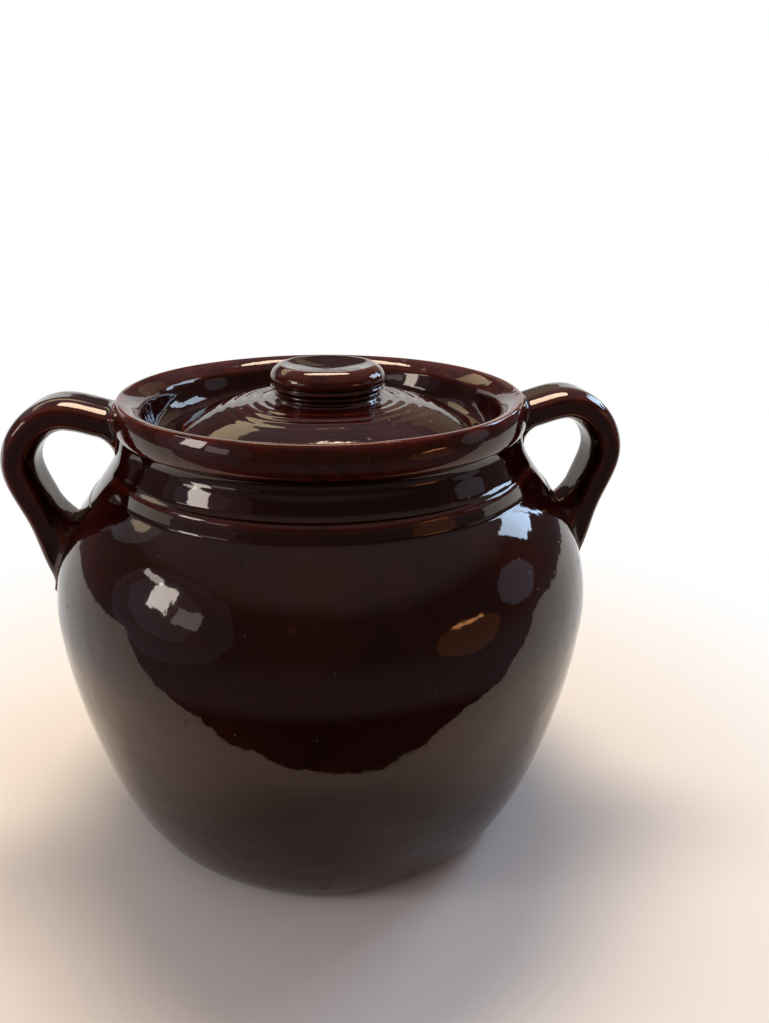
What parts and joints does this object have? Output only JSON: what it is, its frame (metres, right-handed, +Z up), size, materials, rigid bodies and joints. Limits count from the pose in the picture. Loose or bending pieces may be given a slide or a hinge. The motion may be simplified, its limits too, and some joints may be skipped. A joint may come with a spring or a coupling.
{
  "type": "bean pot",
  "caption": "Round-bellied stoneware bean pot with a loose inset lid, a flat button knob and two strap loop handles, glazed dark brown.",
  "frame": {"origin": "middle of the foot, on the surface that the pot stands on", "axes": "+Z up through the lid; X runs through both handles; +Y is the back"},
  "size_m": [0.2416, 0.2116, 0.1851],
  "materials": {
    "pot_glaze": "glossy dark mahogany slip glaze on stoneware, bare on the foot",
    "handle_glaze": "glossy dark mahogany slip glaze on stoneware",
    "lid_glaze": "glossy dark mahogany slip glaze on stoneware, bare on the seat"
  },
  "bodies": {
    "pot": {"pot_body": "pot_glaze", "handle_right": "handle_glaze", "handle_left": "handle_glaze"},
    "lid": {"lid_disc": "lid_glaze", "lid_knob": "lid_glaze"}
  },
  "joints": [
    {"name": "lid_lift", "type": "slide", "parent": "pot", "child": "lid", "axis": [0, 0, 1], "range_m": [0, 0.06]}
  ]
}
